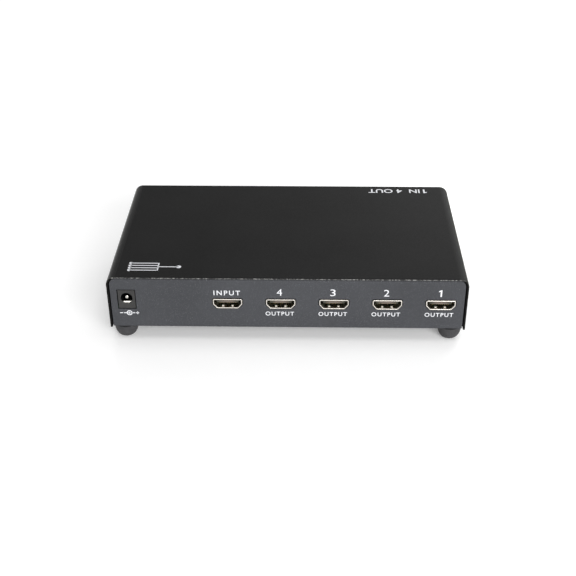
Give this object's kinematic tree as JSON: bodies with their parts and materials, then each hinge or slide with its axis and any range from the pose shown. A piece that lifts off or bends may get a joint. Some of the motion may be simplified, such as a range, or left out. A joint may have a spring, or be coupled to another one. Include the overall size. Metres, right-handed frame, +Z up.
{
  "type": "video splitter",
  "caption": "Low black folded-steel video splitter on rubber feet: video sockets and a power inlet at the rear, small indicator lamps and a round power button at the front.",
  "frame": {"origin": "under the middle of the case, on the surface that the feet stand on", "axes": "+Z up; the front with the lamps and the button faces -Y; the sockets face +Y; +X is to the right seen from the front"},
  "size_m": [0.1844, 0.1054, 0.0385],
  "materials": {
    "black_powder_coat": "fine-textured black powder coat",
    "black_rubber": "matt black rubber",
    "adhesive_film": "thin black double-sided adhesive disc",
    "black_screw": "black-oxided steel",
    "zinc_steel": "zinc-plated steel",
    "green_board": "glass-fibre board under green solder mask",
    "plated_shell": "nickel-plated folded steel",
    "socket_insulator": "beige moulded insulator",
    "gold_contact": "gold-plated copper alloy",
    "black_plastic": "black moulded plastic",
    "button_plastic": "satin black moulded plastic",
    "plated_brass": "nickel-plated brass",
    "lamp_white": "milky lamp lens",
    "lamp_blue": "clear bluish lamp lens",
    "tinned_copper": "tinned copper",
    "white_plastic": "off-white moulded plastic",
    "tan_laminate": "phenolic laminate base",
    "spring_steel": "bright spring wire",
    "chip_epoxy": "black moulding compound",
    "grey_thermal_pad": "soft grey silicone pad",
    "black_aluminium": "black-anodised aluminium",
    "bright_aluminium": "bright aluminium can",
    "grey_ferrite": "dark grey ferrite",
    "ceramic_tan": "tan ceramic with tinned ends",
    "resistor_black": "black glazed resistor with tinned ends",
    "white_print": "white screen-printed ink"
  },
  "bodies": {
    "case": {"top_cover": "black_powder_coat", "base_chassis": "black_powder_coat", "rubber_foot_front_left": "black_rubber", "rubber_foot_front_right": "black_rubber", "rubber_foot_rear_left": "black_rubber", "rubber_foot_rear_right": "black_rubber", "foot_adhesive_discs": "adhesive_film", "cover_screws": "black_screw", "board_standoffs": "zinc_steel", "board_screws": "zinc_steel", "main_board": "green_board", "video_in_shell": "plated_shell", "video_in_insulator": "socket_insulator", "video_in_contacts": "gold_contact", "video_out_1_shell": "plated_shell", "video_out_1_insulator": "socket_insulator", "video_out_1_contacts": "gold_contact", "video_out_2_shell": "plated_shell", "video_out_2_insulator": "socket_insulator", "video_out_2_contacts": "gold_contact", "video_out_3_shell": "plated_shell", "video_out_3_insulator": "socket_insulator", "video_out_3_contacts": "gold_contact", "video_out_4_shell": "plated_shell", "video_out_4_insulator": "socket_insulator", "video_out_4_contacts": "gold_contact", "dc_jack_body": "black_plastic", "dc_jack_pin": "plated_brass", "dc_jack_spring_contact": "plated_brass", "port_led_1": "lamp_white", "port_led_2": "lamp_white", "port_led_3": "lamp_white", "port_led_4": "lamp_white", "power_led": "lamp_blue", "led_holders": "black_plastic", "led_leads": "tinned_copper", "power_switch_housing": "black_plastic", "power_switch_base": "tan_laminate", "power_switch_terminals": "tinned_copper", "power_switch_spring": "spring_steel", "splitter_chip": "chip_epoxy", "splitter_chip_leads": "tinned_copper", "thermal_pad": "grey_thermal_pad", "heatsink": "black_aluminium", "controller_chip": "chip_epoxy", "controller_chip_leads": "tinned_copper", "crystal": "zinc_steel", "memory_chips": "chip_epoxy", "memory_chip_leads": "tinned_copper", "port_protection_chips": "chip_epoxy", "filter_capacitors": "bright_aluminium", "power_inductor": "grey_ferrite", "power_diode": "chip_epoxy", "voltage_regulator": "chip_epoxy", "ceramic_capacitors": "ceramic_tan", "chip_resistors": "resistor_black"},
    "power_button": {"power_button_cap": "button_plastic", "power_switch_plunger": "white_plastic", "power_switch_bridges": "gold_contact"}
  },
  "joints": [
    {"name": "power_button_press", "type": "slide", "parent": "case", "child": "power_button", "axis": [0, 1, 0], "range_m": [0, 0.0025], "stiffness_N_per_m": 600, "springref_m": -0.001, "deforming": ["power_switch_spring"]}
  ]
}
